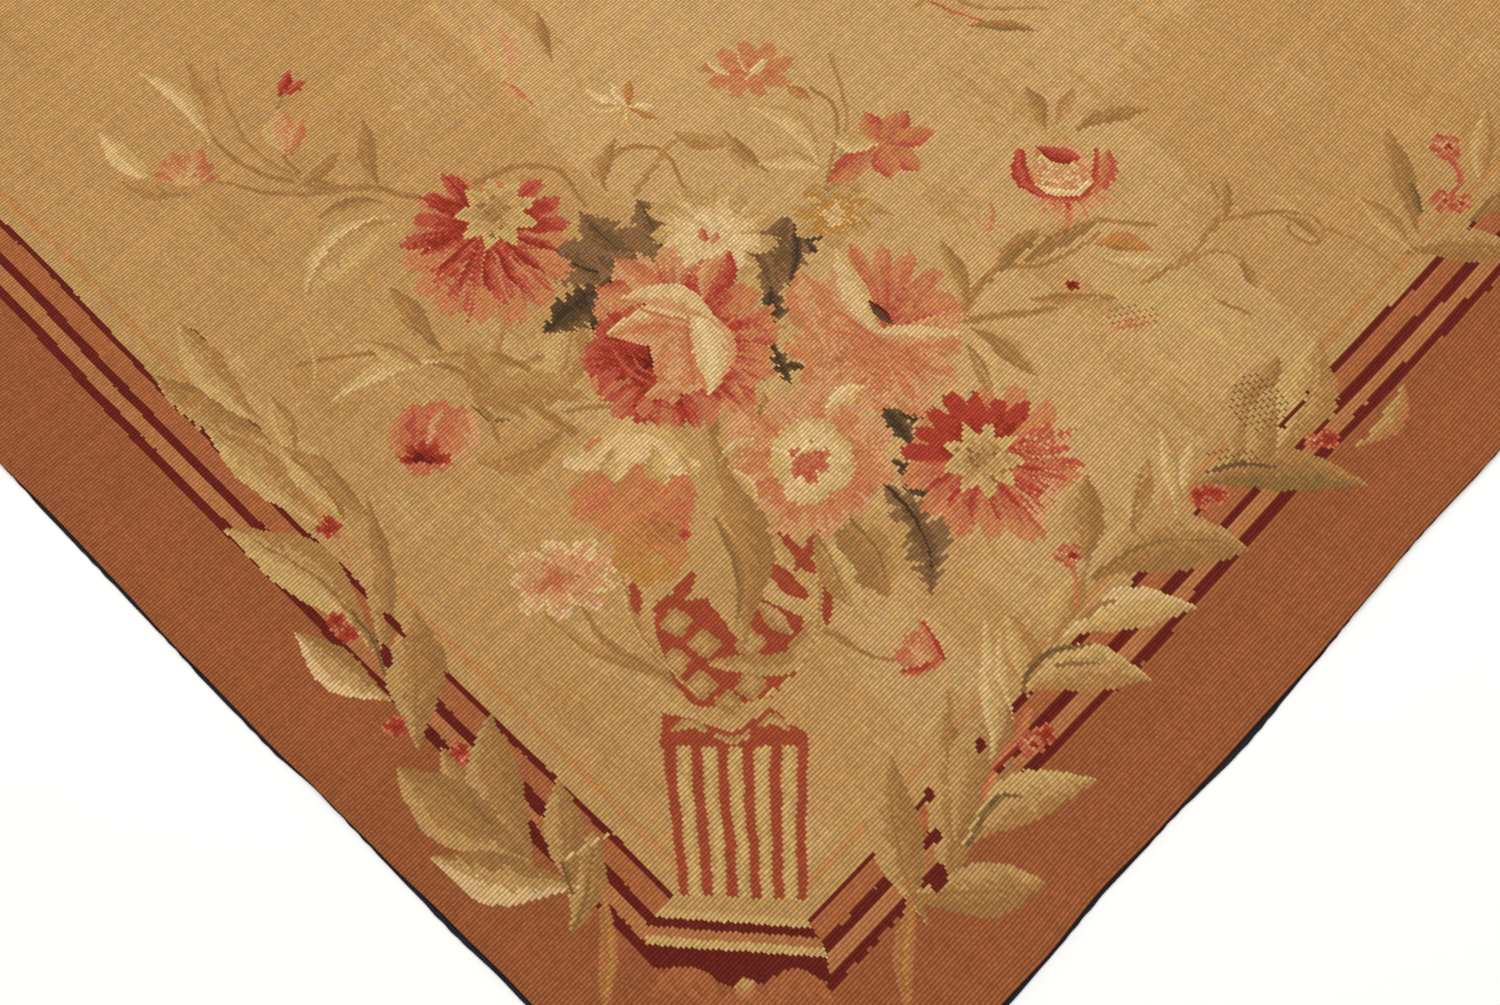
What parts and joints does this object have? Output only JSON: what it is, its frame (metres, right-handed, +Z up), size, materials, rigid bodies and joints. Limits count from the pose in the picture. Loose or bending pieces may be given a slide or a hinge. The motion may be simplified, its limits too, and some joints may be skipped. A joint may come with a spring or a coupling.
{
  "type": "flat-woven tapestry rug",
  "caption": "Flat-woven wool tapestry rug with a plain field, flowers in its corners, a striped border and a dark binding tape sewn under each edge.",
  "frame": {"origin": "middle of the rug's footprint, on the floor", "axes": "+Z up, away from the floor; +X along the ribs of the weave, which is the rug's length; +Y across its width"},
  "size_m": [3.657, 2.7484, 0.0043],
  "materials": {
    "tapestry_wool": "matte ribbed weave",
    "binding_tape": "matte twill"
  },
  "bodies": {
    "root": {"cloth": "tapestry_wool", "tape_start_end": "binding_tape", "tape_finish_end": "binding_tape", "tape_near_side": "binding_tape", "tape_far_side": "binding_tape"}
  },
  "joints": []
}
